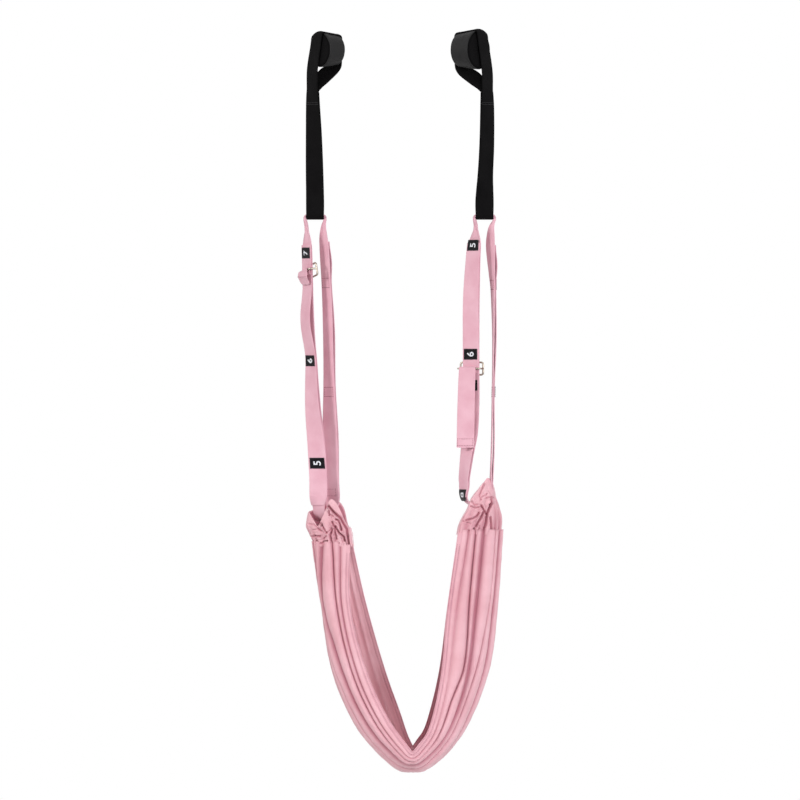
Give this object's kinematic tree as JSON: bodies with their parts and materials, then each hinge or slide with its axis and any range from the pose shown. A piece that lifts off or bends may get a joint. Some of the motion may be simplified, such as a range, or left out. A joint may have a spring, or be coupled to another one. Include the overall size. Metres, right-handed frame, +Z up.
{
  "type": "aerial yoga rope",
  "caption": "Gathered pink sling on two adjustable pink webbing loops with sewn hand loops, each hung from a black webbing loop with a foam roll that holds behind a shut door.",
  "frame": {"origin": "halfway between the two foam rolls, at the height of their centres", "axes": "+Z up, +X towards the right roll as the front is seen, -Y towards the front, where the strap tails hang"},
  "size_m": [0.3479, 0.2036, 1.2407],
  "materials": {
    "pink_webbing": "matte",
    "pink_cloth": "satin",
    "hem_cloth": "satin",
    "black_webbing": "matte",
    "black_foam": "matte",
    "label_black": "satin",
    "slider_metal": "satin"
  },
  "bodies": {
    "anchors": {"left_foam_roll": "black_foam", "left_roll_cover": "black_webbing", "left_anchor_wrap": "black_webbing", "right_foam_roll": "black_foam", "right_roll_cover": "black_webbing", "right_anchor_wrap": "black_webbing"},
    "left_anchor": {"left_anchor_loop": "black_webbing"},
    "right_anchor": {"right_anchor_loop": "black_webbing"},
    "left_strap": {"left_webbing": "pink_webbing", "left_front_loop_ply": "pink_webbing", "left_back_loop_ply": "pink_webbing", "left_front_label_1": "label_black", "left_front_label_2": "label_black", "left_front_label_3": "label_black", "left_back_label_1": "label_black", "left_back_label_2": "label_black"},
    "right_strap": {"right_webbing": "pink_webbing", "right_front_loop_ply": "pink_webbing", "right_back_loop_ply": "pink_webbing", "right_front_label_1": "label_black", "right_front_label_2": "label_black", "right_front_label_3": "label_black", "right_back_label_1": "label_black", "right_back_label_2": "label_black"},
    "left_slider": {"left_slider": "slider_metal"},
    "right_slider": {"right_slider": "slider_metal"},
    "left_tail": {"left_tail": "pink_webbing"},
    "right_tail": {"right_tail": "pink_webbing"},
    "sling": {"left_webbing_base": "pink_webbing", "left_casing": "pink_cloth", "right_webbing_base": "pink_webbing", "right_casing": "pink_cloth", "right_base_label": "label_black", "sling_cloth": "pink_cloth", "front_hem": "hem_cloth", "back_hem": "hem_cloth"}
  },
  "joints": [
    {"name": "left_anchor_swing", "type": "hinge", "parent": "anchors", "child": "left_anchor", "pos_m": [-0.1453, 0, -0.0835], "axis": [1, 0, 0], "range_deg": [-35, 35]},
    {"name": "right_anchor_swing", "type": "hinge", "parent": "anchors", "child": "right_anchor", "pos_m": [0.1453, 0, -0.0835], "axis": [1, 0, 0], "range_deg": [-35, 35]},
    {"name": "left_strap_swing", "type": "hinge", "parent": "left_anchor", "child": "left_strap", "pos_m": [-0.1415, 0, -0.275], "axis": [1, 0, 0], "range_deg": [-35, 35]},
    {"name": "right_strap_swing", "type": "hinge", "parent": "right_anchor", "child": "right_strap", "pos_m": [0.1415, 0, -0.275], "axis": [1, 0, 0], "range_deg": [-35, 35]},
    {"name": "sling_swing", "type": "hinge", "parent": "left_strap", "child": "sling", "pos_m": [-0.133, 0, -0.718], "axis": [1, 0, 0], "range_deg": [-20, 20]},
    {"name": "left_slider_travel", "type": "slide", "parent": "left_strap", "child": "left_slider", "axis": [-0.0275, 0.0113, 0.9996], "range_m": [-0.01, 0.01]},
    {"name": "right_slider_travel", "type": "slide", "parent": "right_strap", "child": "right_slider", "axis": [-0.0027, 0.0096, 0.9999], "range_m": [-0.01, 0.01]},
    {"name": "left_tail_flap", "type": "hinge", "parent": "left_slider", "child": "left_tail", "pos_m": [-0.16004, -0.00539, -0.37014], "axis": [-0.4814, 0.8425, -0.2419], "range_deg": [0, 35]},
    {"name": "right_tail_flap", "type": "hinge", "parent": "right_slider", "child": "right_tail", "pos_m": [0.11346, -0.01095, -0.53194], "axis": [-0.9135, 0.4067, 0], "range_deg": [0, 35]}
  ],
  "couplings": [
    {"joint": "right_anchor_swing", "follows": "left_anchor_swing", "ratio": 1},
    {"joint": "right_strap_swing", "follows": "left_strap_swing", "ratio": 1}
  ]
}
